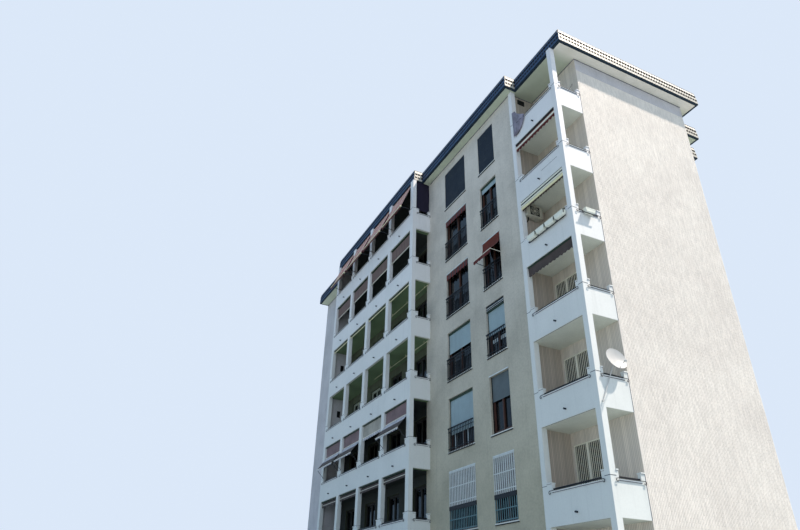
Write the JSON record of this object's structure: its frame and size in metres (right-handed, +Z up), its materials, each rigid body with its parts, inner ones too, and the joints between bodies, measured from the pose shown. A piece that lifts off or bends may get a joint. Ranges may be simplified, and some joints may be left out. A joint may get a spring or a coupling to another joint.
{
  "type": "apartment block",
  "caption": "Apartment block with stacked corner loggias, a flush window wall and a projecting loggia block under a stepped flat roof with a tiled skirt.",
  "frame": {"origin": "on the ground under the middle of the plan, on the underside of the ground slab", "axes": "+X along the street front towards the gable, +Y into the building, +Z up"},
  "size_m": [28.37, 12.79, 23.21],
  "materials": {
    "concrete": "matt concrete",
    "plaster": "matt mottled render",
    "ribbed_cladding": "matt ribbed ceramic cladding",
    "loggia_cladding": "matt ribbed ceramic cladding",
    "ceiling_paint": "matt paint",
    "white_paint": "smooth matt paint",
    "rail_paint": "satin paint",
    "gutter_metal": "satin paint",
    "skirt_tile": "matt tile",
    "cap_metal": "satin paint",
    "sill_stone": "honed stone",
    "brown_frame": "varnish",
    "white_frame": "satin paint",
    "glass": "clear",
    "shutter_slats": "matt",
    "awning_cloth": "woven canvas",
    "striped_cloth": "woven canvas in stripes",
    "red_cloth": "woven canvas",
    "plain_cloth": "woven cotton",
    "screen_panel": "matt",
    "planter_plastic": "matt",
    "dish_metal": "satin paint",
    "spout_metal": "satin paint",
    "unit_metal": "satin paint"
  },
  "bodies": {
    "root": {"ground_slab": "concrete", "plinth_walls": "plaster", "floor_slabs": "concrete", "near_slabs": "ceiling_paint", "left_slabs": "ceiling_paint", "gable_wall": "ribbed_cladding", "near_back_piers": "loggia_cladding", "near_back_spandrels": "loggia_cladding", "near_partition": "loggia_cladding", "middle_piers": "plaster", "middle_spandrels": "plaster", "left_back_piers": "loggia_cladding", "left_back_spandrels": "loggia_cladding", "left_end_wall": "plaster", "far_left_wall": "plaster", "party_wall": "plaster", "rear_steps": "plaster", "rear_piers": "plaster", "rear_spandrels": "plaster", "near_columns": "white_paint", "left_columns": "white_paint", "near_parapets": "white_paint", "left_parapets": "white_paint", "parapet_ends": "white_paint", "parapet_ledges": "sill_stone", "handrails": "rail_paint", "roof_slab": "ceiling_paint", "long_gutters": "gutter_metal", "side_gutters": "gutter_metal", "long_skirts": "skirt_tile", "side_skirts": "skirt_tile", "roof_cap": "cap_metal", "window_sills": "sill_stone", "window_guards": "rail_paint", "front_frames": "brown_frame", "loggia_frames": "white_frame", "rear_frames": "white_frame", "window_glass": "glass", "roller_shutters": "shutter_slats", "near_awnings": "awning_cloth", "top_awnings": "striped_cloth", "drop_awnings": "awning_cloth", "window_awnings": "red_cloth", "hanging_cloth": "plain_cloth", "slanted_awnings": "awning_cloth", "side_screen": "screen_panel", "planter_boxes": "planter_plastic", "outdoor_unit": "unit_metal", "satellite_dish": "dish_metal", "drain_spouts": "spout_metal"}
  },
  "joints": []
}
